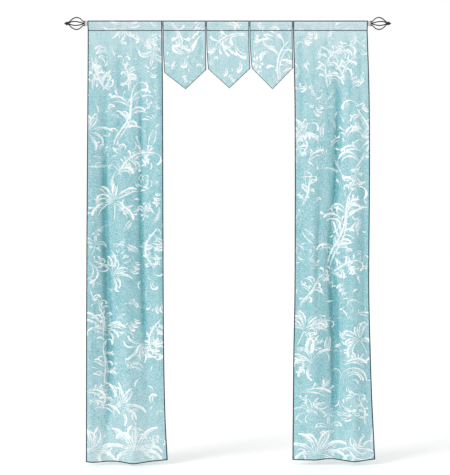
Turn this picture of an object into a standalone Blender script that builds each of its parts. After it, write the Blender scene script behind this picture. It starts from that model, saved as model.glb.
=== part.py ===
"""A pair of narrow floor-length curtains and a valance of three pointed pennants, all on one rod.

Metres, +Z up, +X to the right as seen from the front, and the front faces -Y.
The origin is on the rod's axis, half way along the rod.
"""

from math import acos, atan2, cos, hypot, pi, radians, sin

import bmesh
import bpy
from mathutils import Vector
from mathutils.geometry import tessellate_polygon

# Play left between neighbouring solids, and below which distance two points are one
GAP = 0.0003
MERGE = 0.000001
SHARP_ANGLE = radians(35)

# Rod
ROD_RADIUS = 0.0125
ROD_WALL = 0.0012
ROD_HALF_LENGTH = 0.6905
ROD_SIDES = 28

# Finial: a collar, four twisted bars and a bud that ends in a point
ENDS = {"left": -1, "right": 1}
COLLAR_RADIUS = 0.0135
COLLAR_FLANGE = 0.004
COLLAR_EDGE = 0.0008
SPIGOT_LENGTH = 0.018
BAR_COUNT = 4
BAR_RADIUS = 0.0029
BAR_REACH = 0.080
BAR_TWIST = radians(-10)
BAR_STEPS = 14
BAR_START_ANGLE = radians(-4)
TURNED_SIDES = 20
COLLAR_BACK = ROD_HALF_LENGTH + GAP
BAR_START = COLLAR_BACK + COLLAR_FLANGE + GAP
BUD_BACK = BAR_START + BAR_REACH + GAP
# Share of the bar's reach, and its distance from the rod's axis
BAR_SPREAD = ((0.00, 0.0096), (0.0715, 0.0098), (0.20, 0.0212), (0.34, 0.0282), (0.48, 0.0300),
              (0.62, 0.0272), (0.76, 0.0194), (0.87, 0.0108), (0.9285, 0.0053), (1.00, 0.0051))
# Distance along the bud from its flat back, and its radius there
BUD_PROFILE = ((0.0, 0.0), (0.0, 0.0081), (0.0008, 0.0087), (0.0034, 0.0088), (0.0068, 0.0074),
               (0.0112, 0.0042), (0.0152, 0.0016), (0.0175, 0.0))

# Cloth
CLOTH = 0.0022
SHEET_GAP = 0.002
POCKET_DEPTH = 0.048
POCKET_SWEEP = radians(230)
POCKET_ARC_STEPS = 10
SEAM_ALLOWANCE = 0.005
PENNANT_WIDTH = 0.208
PENNANT_COLUMNS = 8
PANEL_COLUMNS = 24
# Shares of the drop from the stitched line to the hem at which a sheet has a row of points
PANEL_ROWS = (0.0, 0.02, 0.05, 0.09, 0.14, 0.19, 0.25, 0.31, 0.37, 0.43, 0.49, 0.55, 0.61, 0.67, 0.73,
              0.79, 0.85, 0.90, 0.94, 0.97, 1.0)
PENNANT_ROWS = (0.0, 0.08, 0.25, 0.5, 0.75, 1.0)

# The pocket's lining is faceted, so its corners stand off far enough for its flats to clear the rod
POCKET_BORE = (ROD_RADIUS + GAP) / cos(POCKET_SWEEP / POCKET_ARC_STEPS / 2)
POCKET_OUTSIDE = POCKET_BORE + CLOTH
STITCH_Z = POCKET_OUTSIDE - POCKET_DEPTH

# Where a panel's side edges hang: share of the drop, and x
LEFT_PANEL_OUTER_EDGE = ((0.0, -0.6774), (0.10, -0.6782), (0.60, -0.6842), (1.0, -0.6856))
LEFT_PANEL_INNER_EDGE = ((0.0, -0.3160), (0.15, -0.3132), (0.60, -0.3094), (0.76, -0.3068),
                         (0.90, -0.3007), (1.0, -0.2905))
RIGHT_PANEL_INNER_EDGE = ((0.0, 0.3160), (0.18, 0.3236), (0.60, 0.3232), (0.76, 0.3175), (1.0, 0.3138))
RIGHT_PANEL_OUTER_EDGE = ((0.0, 0.6774), (0.15, 0.6868), (0.32, 0.6890), (0.60, 0.6856), (0.74, 0.6920),
                          (0.86, 0.7000), (1.0, 0.7142))

# The hem line: share across from the left, and z
LEFT_PANEL_HEM = ((0.0, -2.1215), (0.10, -2.1255), (0.36, -2.1210), (0.58, -2.1300), (0.80, -2.1215),
                  (1.0, -2.1150))
RIGHT_PANEL_HEM = ((0.0, -2.1140), (0.28, -2.1135), (0.46, -2.1090), (0.74, -2.1200), (1.0, -2.1100))

# Folds. Each row is one trough, or one ridge where the depth is negative, followed from the heading down:
# down is the share of the drop, across the share of the width from the left, half is half its breadth
# as a share of the width, and depth is how far it lies behind the rod's plane.
LEFT_PANEL_FOLDS = (
    dict(down=(0.08, 0.27, 0.45, 0.62, 0.80, 0.96), across=(0.20, 0.22, 0.24, 0.27, 0.30, 0.25),
         half=(0.07, 0.07, 0.075, 0.08, 0.08, 0.07), depth=(0.0, 0.013, 0.022, 0.028, 0.025, 0.006)),
    dict(down=(0.03, 0.20, 0.45, 0.65, 0.80, 1.0), across=(0.70, 0.705, 0.71, 0.74, 0.77, 0.80),
         half=(0.06, 0.06, 0.06, 0.065, 0.07, 0.07), depth=(0.0, 0.013, 0.017, 0.017, 0.009, 0.003)),
    dict(down=(0.0, 0.08, 0.20, 0.34), across=(0.50, 0.50, 0.46, 0.43),
         half=(0.16, 0.16, 0.14, 0.12), depth=(0.0, 0.008, 0.009, 0.0)),
    dict(down=(0.20, 0.45, 0.70, 1.0), across=(0.47, 0.49, 0.52, 0.58),
         half=(0.12, 0.12, 0.13, 0.14), depth=(0.0, -0.009, -0.014, -0.020)),
    dict(down=(0.02, 0.30, 0.60, 1.0), across=(0.04, 0.05, 0.06, 0.05),
         half=(0.09, 0.09, 0.10, 0.10), depth=(0.0, -0.006, -0.010, -0.011)),
    dict(down=(0.02, 0.30, 0.70, 0.88, 1.0), across=(0.95, 0.94, 0.94, 0.96, 1.0),
         half=(0.08, 0.08, 0.09, 0.09, 0.10), depth=(0.0, -0.006, -0.008, 0.0, 0.012)),
)
RIGHT_PANEL_FOLDS = (
    dict(down=(0.04, 0.12, 0.25, 0.36, 0.50, 0.62, 0.75, 0.90, 1.0),
         across=(0.62, 0.60, 0.585, 0.55, 0.48, 0.52, 0.54, 0.52, 0.50),
         half=(0.07, 0.08, 0.08, 0.08, 0.08, 0.09, 0.09, 0.08, 0.08),
         depth=(0.0, 0.011, 0.021, 0.019, 0.019, 0.028, 0.028, 0.014, 0.004)),
    dict(down=(0.03, 0.30, 0.60, 1.0), across=(0.24, 0.24, 0.25, 0.28),
         half=(0.14, 0.14, 0.14, 0.15), depth=(0.0, -0.009, -0.014, -0.012)),
    dict(down=(0.34, 0.46, 0.55, 0.68), across=(0.36, 0.33, 0.31, 0.30),
         half=(0.05, 0.05, 0.05, 0.05), depth=(0.0, 0.009, 0.009, 0.0)),
    dict(down=(0.05, 0.30, 0.60, 1.0), across=(0.80, 0.79, 0.78, 0.75),
         half=(0.11, 0.11, 0.12, 0.13), depth=(0.0, -0.010, -0.015, -0.019)),
    dict(down=(0.15, 0.40, 0.70, 0.92), across=(0.93, 0.93, 0.94, 0.96),
         half=(0.05, 0.05, 0.06, 0.06), depth=(0.0, 0.007, 0.008, 0.0)),
    dict(down=(0.50, 0.80, 1.0), across=(0.02, 0.01, 0.0),
         half=(0.08, 0.08, 0.09), depth=(0.0, 0.004, 0.010)),
)

# One row for each pennant, from the left. swing is how far its left shoulder, right shoulder and point hang
# along X from plumb, z is the height of the same three, and belly and point are how far its middle and its
# point lie behind the rod's plane.
PENNANTS = (
    dict(name="pennant_left", swing=(0.0070, 0.0024, 0.0063), z=(-0.2375, -0.2235, -0.3180),
         belly=-0.0045, point=0.0035),
    dict(name="pennant_middle", swing=(0.0098, 0.0054, 0.0082), z=(-0.2215, -0.2185, -0.3145),
         belly=-0.0025, point=-0.0050),
    dict(name="pennant_right", swing=(0.0112, 0.0032, 0.0069), z=(-0.2185, -0.2150, -0.3180),
         belly=-0.0050, point=0.0020),
)

# Colours and surfaces
AQUA = (0.44, 0.67, 0.72)
CLOTH_ROUGHNESS = 0.85
SATIN_METAL = (0.47, 0.47, 0.46)
METAL_ROUGHNESS = 0.35


def along(keys, at):
    """The value at a place on a smooth curve through keys, which are (place, value) pairs in order."""
    places, values = zip(*keys)
    if at <= places[0]:
        return values[0]
    if at >= places[-1]:
        return values[-1]
    k = max(i for i, place in enumerate(places) if place <= at)
    slopes = []
    for i in (k, k + 1):
        before, after = max(i - 1, 0), min(i + 1, len(keys) - 1)
        slopes.append((values[after] - values[before]) / (places[after] - places[before]))
    span = places[k + 1] - places[k]
    s = (at - places[k]) / span
    start, end = 2 * s**3 - 3 * s**2 + 1, 3 * s**2 - 2 * s**3
    leave, arrive = s**3 - 2 * s**2 + s, s**3 - s**2
    return start * values[k] + end * values[k + 1] + span * (leave * slopes[0] + arrive * slopes[1])


def material(name, colour, roughness, metallic):
    """A plain Principled surface."""
    made = bpy.data.materials.new(name)
    made.use_nodes = True
    shader = made.node_tree.nodes["Principled BSDF"]
    shader.inputs["Base Color"].default_value = (*colour, 1.0)
    shader.inputs["Roughness"].default_value = roughness
    shader.inputs["Metallic"].default_value = metallic
    return made


def add(name, data, finish):
    """Puts a mesh or a curve into the scene as one named sub-part."""
    data.materials.append(finish)
    piece = bpy.data.objects.new(name, data)
    bpy.context.scene.collection.objects.link(piece)


def add_solid(name, bm, finish):
    """Turns a closed bmesh into a sub-part, smooth but for its real edges."""
    bmesh.ops.recalc_face_normals(bm, faces=bm.faces)
    mesh = bpy.data.meshes.new(name)
    bm.to_mesh(mesh)
    bm.free()
    mesh.shade_smooth()
    mesh.set_sharp_from_angle(angle=SHARP_ANGLE)
    add(name, mesh, finish)


def turned(name, profile, side, finish):
    """Spins (x, radius) points, from axis to axis, about the rod's axis, at that side's end of the rod."""
    bm = bmesh.new()
    points = [bm.verts.new((side * x, 0.0, radius)) for x, radius in profile]
    edges = [bm.edges.new(pair) for pair in zip(points, points[1:])]
    bmesh.ops.spin(bm, geom=points + edges, cent=(0, 0, 0), axis=(1, 0, 0), angle=2 * pi, steps=TURNED_SIDES)
    bmesh.ops.remove_doubles(bm, verts=bm.verts, dist=MERGE)
    add_solid(name, bm, finish)


def rod(finish):
    """A round steel tube, open at both ends to take the finials' spigots."""
    bm = bmesh.new()
    inside = ROD_RADIUS - ROD_WALL
    rings = []
    for x, radius in ((-ROD_HALF_LENGTH, ROD_RADIUS), (ROD_HALF_LENGTH, ROD_RADIUS),
                      (ROD_HALF_LENGTH, inside), (-ROD_HALF_LENGTH, inside)):
        turns = [2 * pi * k / ROD_SIDES for k in range(ROD_SIDES)]
        rings.append([bm.verts.new((x, radius * cos(turn), radius * sin(turn))) for turn in turns])
    for ring, following in zip(rings, rings[1:] + rings[:1]):
        for k in range(ROD_SIDES):
            after = (k + 1) % ROD_SIDES
            bm.faces.new((ring[k], ring[after], following[after], following[k]))
    add_solid("rod", bm, finish)


def collar(end, side, finish):
    """The finial's base: a round flange against the rod's end, and a spigot inside the tube."""
    front = COLLAR_BACK + COLLAR_FLANGE
    spigot = ROD_RADIUS - ROD_WALL - GAP
    profile = (
        (COLLAR_BACK - SPIGOT_LENGTH, 0.0),
        (COLLAR_BACK - SPIGOT_LENGTH, spigot),
        (COLLAR_BACK, spigot),
        (COLLAR_BACK, COLLAR_RADIUS - COLLAR_EDGE),
        (COLLAR_BACK + COLLAR_EDGE, COLLAR_RADIUS),
        (front - COLLAR_EDGE, COLLAR_RADIUS),
        (front, COLLAR_RADIUS - COLLAR_EDGE),
        (front, 0.0),
    )
    turned(f"finial_{end}_collar", profile, side, finish)


def bar(end, side, number, finish):
    """One round bar that springs from the collar, swells round the open basket and meets the bud's back."""
    curve = bpy.data.curves.new(f"finial_{end}_bar_{number}", "CURVE")
    curve.dimensions = "3D"
    curve.bevel_depth = BAR_RADIUS
    curve.bevel_resolution = 1
    curve.use_fill_caps = True
    spline = curve.splines.new("POLY")
    spline.points.add(BAR_STEPS)
    start_angle = BAR_START_ANGLE + 2 * pi * number / BAR_COUNT
    for step, point in enumerate(spline.points):
        share = step / BAR_STEPS
        spread = along(BAR_SPREAD, share)
        turn = start_angle + BAR_TWIST * share**2 * (3 - 2 * share)
        point.co = (side * (BAR_START + BAR_REACH * share), spread * cos(turn), spread * sin(turn), 1.0)
    add(f"finial_{end}_bar_{number}", curve, finish)


def bud(end, side, finish):
    """The solid tip that gathers the bars and ends in a point."""
    profile = [(BUD_BACK + x, radius) for x, radius in BUD_PROFILE]
    turned(f"finial_{end}_bud", profile, side, finish)


def touch_angle(foot, radius, side):
    """The angle where a straight line from foot (y, z) touches a circle round the rod, on that side."""
    y, z = foot
    return atan2(z, y) + side * acos(radius / hypot(y, z))


def arc_over_rod(front_foot, back_foot, radius):
    """(y, z) points over the rod, from where the front layer leaves it to where the back layer does."""
    first = touch_angle(front_foot, radius, -1) % (2 * pi)
    last = touch_angle(back_foot, radius, 1)
    turns = [first + (last - first) * k / POCKET_ARC_STEPS for k in range(POCKET_ARC_STEPS + 1)]
    return [(radius * cos(turn), radius * sin(turn)) for turn in turns]


def pocket_outside():
    """(y, z) points of the pocket's outer face, from the stitched line up the front and down the back."""
    front, back = -CLOTH / 2, CLOTH * 3 / 2
    turned_edge = STITCH_Z - SEAM_ALLOWANCE
    points = arc_over_rod((front, STITCH_Z), (back, STITCH_Z), POCKET_OUTSIDE)
    return points + [(back, STITCH_Z), (back, turned_edge), (CLOTH / 2, turned_edge - CLOTH / 2)]


def pocket_lining():
    """(y, z) points of the loop that holds the rod, from its foot between the two stitched layers."""
    foot = (CLOTH / 2, STITCH_Z + CLOTH / 2)
    return [foot] + arc_over_rod(foot, foot, POCKET_BORE)


def hanging_sheet(name, columns, rows, surface, finish):
    """One cloth with its top folded over the rod to the back and stitched down, so that it has a rod pocket.

    surface(across, down) gives the middle of the cloth below the stitched line. The points of a column run
    up the front from the hem, over the rod and down the back to the hem. A second loop lines the pocket.
    """
    bm = bmesh.new()
    forward = Vector((0, -CLOTH / 2, 0))
    outer_loops, inner_loops = [], []
    for column in range(columns + 1):
        middle = [surface(column / columns, down) for down in rows]
        x = middle[0].x
        outer = [point + forward for point in reversed(middle)]
        outer += [Vector((x, y, z)) for y, z in pocket_outside()]
        outer += [point - forward for point in middle[1:]]
        outer_loops.append([bm.verts.new(point) for point in outer])
        inner_loops.append([bm.verts.new((x, y, z)) for y, z in pocket_lining()])
    for loops in (outer_loops, inner_loops):
        for loop, following in zip(loops, loops[1:]):
            for k in range(len(loop)):
                after = (k + 1) % len(loop)
                bm.faces.new((loop[k], loop[after], following[after], following[k]))
    for outer, inner in ((outer_loops[0], inner_loops[0]), (outer_loops[-1], inner_loops[-1])):
        corners = outer + inner
        flat = [[Vector((corner.co.y, corner.co.z, 0)) for corner in loop] for loop in (outer, inner)]
        for triangle in tessellate_polygon(flat):
            bm.faces.new([corners[k] for k in triangle])
    add_solid(name, bm, finish)


def fold_depth(folds, across, down):
    """How far the cloth lies behind the rod's plane: the sum of its troughs and ridges, each bell-shaped."""
    depth = 0.0
    for fold in folds:
        centre, half, deep = (along(tuple(zip(fold["down"], fold[key])), down)
                              for key in ("across", "half", "depth"))
        offset = (across - centre) / half
        depth += deep / (1.0 + offset**2)**2
    return depth


def panel(name, left_edge, right_edge, hem, folds, finish):
    """A floor-length curtain, its width taken up by a few soft folds that open towards the hem."""
    def surface(across, down):
        left, right = along(left_edge, down), along(right_edge, down)
        z = STITCH_Z + (along(hem, across) - STITCH_Z) * down
        return Vector((left + (right - left) * across, fold_depth(folds, across, down), z))
    hanging_sheet(name, PANEL_COLUMNS, PANEL_ROWS, surface, finish)


def pennant(row, left, finish):
    """A short flat flag that is cut to a point. left is the x of its left edge on the rod."""
    swing_left, swing_right, swing_point = row["swing"]
    z_left, z_right, z_point = row["z"]

    def surface(across, down):
        to_middle = 1 - abs(2 * across - 1)
        swing = swing_left + (swing_right - swing_left) * across
        swing += (swing_point - (swing_left + swing_right) / 2) * to_middle
        hem_z = z_left + (z_right - z_left) * across
        hem_z += (z_point - (z_left + z_right) / 2) * to_middle
        belly = 4 * across * (1 - across) * sin(pi * down)
        x = left + PENNANT_WIDTH * across + swing * down**2
        y = row["belly"] * belly + row["point"] * down**2
        return Vector((x, y, STITCH_Z + (hem_z - STITCH_Z) * down))
    hanging_sheet(row["name"], PENNANT_COLUMNS, PENNANT_ROWS, surface, finish)


def main():
    for old in list(bpy.data.objects):
        bpy.data.objects.remove(old)
    cloth = material("curtain_cloth", AQUA, CLOTH_ROUGHNESS, 0.0)
    metal = material("rod_metal", SATIN_METAL, METAL_ROUGHNESS, 1.0)

    rod(metal)
    for end, side in ENDS.items():
        collar(end, side, metal)
        for number in range(1, BAR_COUNT + 1):
            bar(end, side, number, metal)
        bud(end, side, metal)

    panel("panel_left", LEFT_PANEL_OUTER_EDGE, LEFT_PANEL_INNER_EDGE, LEFT_PANEL_HEM, LEFT_PANEL_FOLDS, cloth)
    panel("panel_right", RIGHT_PANEL_INNER_EDGE, RIGHT_PANEL_OUTER_EDGE, RIGHT_PANEL_HEM, RIGHT_PANEL_FOLDS,
          cloth)
    middle = (len(PENNANTS) - 1) / 2
    for number, row in enumerate(PENNANTS):
        centre = (number - middle) * (PENNANT_WIDTH + SHEET_GAP)
        pennant(row, centre - PENNANT_WIDTH / 2, cloth)


main()
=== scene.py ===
import random
from math import acos, atan2, cos, hypot, pi, radians, sin

import bpy
import numpy as np
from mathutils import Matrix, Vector
from mathutils.geometry import tessellate_polygon


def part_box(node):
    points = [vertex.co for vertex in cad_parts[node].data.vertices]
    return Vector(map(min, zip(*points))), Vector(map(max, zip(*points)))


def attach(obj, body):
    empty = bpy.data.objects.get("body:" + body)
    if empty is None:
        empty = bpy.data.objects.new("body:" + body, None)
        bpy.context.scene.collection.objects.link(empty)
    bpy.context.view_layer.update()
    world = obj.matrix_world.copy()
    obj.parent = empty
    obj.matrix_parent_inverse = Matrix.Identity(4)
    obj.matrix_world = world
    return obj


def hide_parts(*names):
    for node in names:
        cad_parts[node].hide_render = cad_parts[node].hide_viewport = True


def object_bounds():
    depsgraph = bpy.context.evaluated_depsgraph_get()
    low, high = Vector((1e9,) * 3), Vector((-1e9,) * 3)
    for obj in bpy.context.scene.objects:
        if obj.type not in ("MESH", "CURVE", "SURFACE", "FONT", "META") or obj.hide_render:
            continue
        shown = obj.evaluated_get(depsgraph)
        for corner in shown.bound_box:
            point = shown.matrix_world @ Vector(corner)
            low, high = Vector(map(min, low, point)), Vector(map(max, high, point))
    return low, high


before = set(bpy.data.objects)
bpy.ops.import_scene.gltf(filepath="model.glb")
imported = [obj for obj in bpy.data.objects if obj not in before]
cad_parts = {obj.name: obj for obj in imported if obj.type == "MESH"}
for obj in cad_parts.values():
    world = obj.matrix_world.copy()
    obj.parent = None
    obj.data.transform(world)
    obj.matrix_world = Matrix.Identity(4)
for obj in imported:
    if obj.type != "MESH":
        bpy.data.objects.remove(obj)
cad_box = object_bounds()


# Where the curtains are shown. They hang just clear of a plain white floor, in an even white surround, with
# broad soft daylight from the left in front, which lets the folds show. The eye is level with the middle of
# the drop and straight in front.

FLOOR_BELOW_HEM = 0.010
FLOOR_HALF = 60.0
EYE = Vector((-0.013, -6.386, -1.036))
LENS = 100
DAYLIGHT_FROM = Vector((-1.0, -1.0, 0.62))
DAYLIGHT = 1.55
DAYLIGHT_SPREAD = radians(28)
SURROUND = 1.0


FLOOR_WHITES = ((0.0, (0.90, 0.90, 0.90, 1)), (1.0, (0.93, 0.93, 0.93, 1)))


def new_finish(name):
    """A new material, its node tree and its Principled shader."""
    made = bpy.data.materials.new(name)
    made.use_nodes = True
    return made, made.node_tree, made.node_tree.nodes["Principled BSDF"]


def set_inputs(node, values):
    for name, value in values.items():
        node.inputs[name].default_value = value


def new_node(tree, kind, values=None, **settings):
    """Adds a node to a material, with its settings and then the values of its inputs."""
    made = tree.nodes.new("ShaderNode" + kind)
    for name, setting in settings.items():
        setattr(made, name, setting)
    set_inputs(made, values or {})
    return made


def new_ramp(tree, stops):
    """Adds a ramp of colours to a material, from pairs of a position and a colour."""
    ramp = new_node(tree, "ValToRGB")
    elements = ramp.color_ramp.elements
    while len(elements) < len(stops):
        elements.new(1.0)
    for element, (position, colour) in zip(elements, stops):
        element.position = position
        element.color = colour
    return ramp


def put_in_scene(name, data):
    """A new object of a mesh, a lamp or a camera."""
    made = bpy.data.objects.new(name, data)
    bpy.context.scene.collection.objects.link(made)
    return made


def floor_finish():
    made, tree, shader = new_finish("white_floor")
    grain = new_node(tree, "TexNoise", {"Scale": 9.0})
    white = new_ramp(tree, FLOOR_WHITES)
    tree.links.new(grain.outputs["Fac"], white.inputs["Fac"])
    tree.links.new(white.outputs["Color"], shader.inputs["Base Color"])
    set_inputs(shader, {"Roughness": 0.9})
    return made


def lay_floor():
    z = cad_box[0].z - FLOOR_BELOW_HEM
    corners = [(x * FLOOR_HALF, y * FLOOR_HALF, z) for x, y in ((-1, -1), (1, -1), (1, 1), (-1, 1))]
    mesh = bpy.data.meshes.new("floor")
    mesh.from_pydata(corners, [], [(0, 1, 2, 3)])
    mesh.materials.append(floor_finish())
    put_in_scene("floor", mesh)


def let_in_daylight():
    light = bpy.data.lights.new("soft_daylight", "SUN")
    light.angle = DAYLIGHT_SPREAD
    light.energy = DAYLIGHT
    lamp = put_in_scene("soft_daylight", light)
    lamp.rotation_euler = (-DAYLIGHT_FROM).to_track_quat("-Z", "Y").to_euler()


def set_camera():
    lens = bpy.data.cameras.new("eye")
    lens.lens = LENS
    eye = put_in_scene("eye", lens)
    eye.location = EYE
    eye.rotation_euler = (pi / 2, 0, 0)
    bpy.context.scene.camera = eye


def light_surround():
    world = bpy.data.worlds.new("white_surround")
    bpy.context.scene.world = world
    world.use_nodes = True
    set_inputs(world.node_tree.nodes["Background"], {"Color": (1, 1, 1, 1), "Strength": SURROUND})


lay_floor()
let_in_daylight()
set_camera()
light_surround()
bpy.context.scene.view_settings.view_transform = "Standard"


# The rod, a round steel tube with a satin nickel plate, polished in fine lines that run round it. It goes
# through the pockets of all five cloths and shows bare for a finger's breadth at each end.

ROD_COLOUR = (0.62, 0.61, 0.59)
ROD_SHADE = (0.50, 0.49, 0.48)


def brushed_metal(name, light, shade, roughness, stretch, wear, glint=1.0):
    """Plated metal: fine polishing lines, roughness that follows them, and a cloudy patina in two tones.

    stretch squeezes the lines' pattern along each axis, wear is how far the two tones are blended, and glint
    is how bright the metal is where it is seen from the side.
    """
    made, tree, shader = new_finish(name)
    link = tree.links.new
    place = new_node(tree, "TexCoord")
    squeeze = new_node(tree, "Mapping", {"Scale": stretch})
    lines = new_node(tree, "TexNoise", {"Scale": 900.0, "Detail": 3.0})
    clouds = new_node(tree, "TexNoise", {"Scale": 90.0, "Detail": 5.0})
    tint = new_ramp(tree, ((0.5 - wear, (*shade, 1)), (0.5 + wear, (*light, 1))))
    gloss = new_node(tree, "MapRange", {"To Min": roughness - 0.08, "To Max": roughness + 0.12})
    relief = new_node(tree, "Bump", {"Strength": 0.12, "Distance": 0.0002})
    link(place.outputs["Object"], squeeze.inputs["Vector"])
    link(squeeze.outputs["Vector"], lines.inputs["Vector"])
    link(place.outputs["Object"], clouds.inputs["Vector"])
    link(clouds.outputs["Fac"], tint.inputs["Fac"])
    link(tint.outputs["Color"], shader.inputs["Base Color"])
    link(lines.outputs["Fac"], gloss.inputs["Value"])
    link(gloss.outputs["Result"], shader.inputs["Roughness"])
    link(lines.outputs["Fac"], relief.inputs["Height"])
    link(relief.outputs["Normal"], shader.inputs["Normal"])
    set_inputs(shader, {"Metallic": 1.0, "Specular Tint": (glint, glint, glint, 1)})
    return made


def dress(node, finish):
    """Gives a solid of the frame its finish."""
    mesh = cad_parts[node].data
    mesh.materials.clear()
    mesh.materials.append(finish)


nickel = brushed_metal("satin_nickel", ROD_COLOUR, ROD_SHADE, roughness=0.34,
                       stretch=(1.0, 0.06, 0.06), wear=0.2)
dress("rod", nickel)


# The two finials. Each has a turned collar that plugs into the rod, four round bars bent into an open and
# slightly twisted basket, and a turned pointed bud. The metal is the rod's, darkened in a bath.

FINIAL_COLOUR = (0.080, 0.080, 0.082)
FINIAL_SHADE = (0.014, 0.015, 0.016)

antique = brushed_metal("antique_pewter", FINIAL_COLOUR, FINIAL_SHADE, roughness=0.38,
                        stretch=(0.15, 1.0, 1.0), wear=0.16, glint=0.2)
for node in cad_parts:
    if node.startswith("finial"):
        dress(node, antique)


# The left curtain. One width of medium cotton, hemmed at both sides and at the foot, its top turned to the
# back over the rod and stitched down. Its spare width falls in a few soft folds that deepen on the way down.

CLOTH = 0.0009
HEM_LAYERS = 0.0013
HEM_STEP = 0.0006
POCKET_DEPTH = 0.048
POCKET_SLACK = 0.0006
POCKET_ARC_STEPS = 14
POCKET_RUN_STEPS = 9
SEAM_ALLOWANCE = 0.006
SIDE_HEM = 0.022
PANEL_HEM = 0.075
PANEL_WIDTH = 0.372
PANEL_DROP = 2.09
COLUMN_STEP = 0.0031
ROW_STEP = 0.0085
EDGE_ROUND = 0.0012
EDGE_THICKNESS = 0.35
DARK_TOP = 0.0084
# Small gathers, which the stitches draw in: how far apart, half how broad, how long and how deep at most, in
# metres, but the long ones' length is a share of the drop
SHORT_GATHERS = (0.03, 0.0075, 0.16, 0.0014)
LONG_GATHERS = (0.06, 0.013, 0.85, 0.0024)

LEFT_OUTER_EDGE = ((0.0, -0.6774), (0.10, -0.6782), (0.60, -0.6842), (1.0, -0.6856))
LEFT_INNER_EDGE = ((0.0, -0.3160), (0.15, -0.3132), (0.60, -0.3094), (0.76, -0.3068), (0.90, -0.3007),
                   (1.0, -0.2905))
LEFT_HEM = ((0.0, -2.1215), (0.10, -2.1255), (0.36, -2.1210), (0.58, -2.1300), (0.80, -2.1215),
            (1.0, -2.1150))
# Each fold is followed down the drop: where it is across, its half breadth, both as shares of the width,
# and how far it lies behind the rod's plane in metres, or before it where that is negative
LEFT_FOLDS = (
    dict(down=(0.08, 0.27, 0.45, 0.62, 0.80, 0.96), across=(0.20, 0.22, 0.24, 0.27, 0.30, 0.25),
         half=(0.07, 0.07, 0.075, 0.08, 0.08, 0.07), depth=(0.0, 0.013, 0.022, 0.028, 0.025, 0.006)),
    dict(down=(0.03, 0.20, 0.45, 0.65, 0.80, 1.0), across=(0.70, 0.705, 0.71, 0.74, 0.77, 0.80),
         half=(0.06, 0.06, 0.06, 0.065, 0.07, 0.07), depth=(0.0, 0.013, 0.017, 0.017, 0.009, 0.003)),
    dict(down=(0.0, 0.08, 0.20, 0.34), across=(0.50, 0.50, 0.46, 0.43),
         half=(0.16, 0.16, 0.14, 0.12), depth=(0.0, 0.008, 0.009, 0.0)),
    dict(down=(0.20, 0.45, 0.70, 1.0), across=(0.47, 0.49, 0.52, 0.58),
         half=(0.12, 0.12, 0.13, 0.14), depth=(0.0, -0.009, -0.014, -0.020)),
    dict(down=(0.02, 0.30, 0.60, 1.0), across=(0.04, 0.05, 0.06, 0.05),
         half=(0.09, 0.09, 0.10, 0.10), depth=(0.0, -0.006, -0.010, -0.011)),
    dict(down=(0.02, 0.30, 0.70, 0.88, 1.0), across=(0.95, 0.94, 0.94, 0.96, 1.0),
         half=(0.08, 0.08, 0.09, 0.09, 0.10), depth=(0.0, -0.006, -0.008, 0.0, 0.012)),
)
# How light the wash of the cloth is down the drop, from 0, deepest aqua, to 1, palest
LEFT_WASH = ((0.0, 0.82), (0.06, 0.68), (0.20, 0.55), (0.40, 0.49), (0.60, 0.47), (0.78, 0.54), (0.90, 0.63),
             (1.0, 0.78))

rod_low, rod_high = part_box("rod")
POCKET_BORE = (rod_high.z - rod_low.z) / 2 + POCKET_SLACK
POCKET_OUTSIDE = POCKET_BORE + CLOTH
STITCH_Z = POCKET_OUTSIDE - POCKET_DEPTH


def along(keys, at):
    """Values at places on a smooth curve through keys, which are (place, value) pairs in order."""
    places, values = np.array(keys).T
    before = np.maximum(np.arange(len(places)) - 1, 0)
    after = np.minimum(np.arange(len(places)) + 1, len(places) - 1)
    slopes = (values[after] - values[before]) / (places[after] - places[before])
    at = np.clip(at, places[0], places[-1])
    k = np.clip(np.searchsorted(places, at, side="right") - 1, 0, len(places) - 2)
    span = places[k + 1] - places[k]
    s = (at - places[k]) / span
    start, end = 2 * s**3 - 3 * s**2 + 1, 3 * s**2 - 2 * s**3
    leave, arrive = s**3 - 2 * s**2 + s, s**3 - s**2
    return start * values[k] + end * values[k + 1] + span * (leave * slopes[k] + arrive * slopes[k + 1])


def smooth(low, high, at):
    """0 below low, 1 above high, and an even rise between."""
    s = np.clip((at - low) / (high - low), 0, 1)
    return s * s * (3 - 2 * s)


def fold_depth(folds, across, down):
    """How far the cloth lies behind the rod's plane: the sum of its troughs and ridges, each bell-shaped."""
    depth = np.zeros(np.broadcast(across, down).shape)
    for fold in folds:
        centre, half, deep = (along(tuple(zip(fold["down"], fold[key])), down)
                              for key in ("across", "half", "depth"))
        depth += deep / (1 + ((across - centre) / half)**2)**2
    return depth


def puckers(across, below, width, seed, spacing, half, longest, deepest):
    """How far the cloth is set back by small gathers that run down from the stitched line."""
    chance = random.Random(seed)
    depth = np.zeros(np.broadcast(across, below).shape)
    count = int(width / spacing)
    for number in range(count):
        centre = (number + chance.uniform(0.2, 0.8)) / count
        breadth = chance.uniform(0.7, 1.3) * half / width
        length = chance.uniform(0.3, 1.0) * longest
        deep = chance.uniform(0.3, 1.0) * deepest
        lean = chance.uniform(-0.02, 0.02) / width
        offset = (across - centre - lean * below) / breadth
        depth += (deep * np.exp(-offset**2) * smooth(0, 0.1 * length, below)
                  * (1 - smooth(0.3 * length, length, below)))
    return depth


def touch_angle(foot, radius, side):
    """The angle where a straight line from foot (y, z) touches a circle round the rod, on that side."""
    y, z = foot
    return atan2(z, y) + side * acos(radius / hypot(y, z))


def arc_over_rod(front_foot, back_foot, radius):
    """(y, z) points over the rod, from where the front layer leaves it to where the back layer does."""
    first = touch_angle(front_foot, radius, -1) % (2 * pi)
    last = touch_angle(back_foot, radius, 1)
    turns = np.linspace(first, last, 2 * POCKET_ARC_STEPS + 1)
    return np.stack([radius * np.cos(turns), radius * np.sin(turns)], axis=1)


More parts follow.
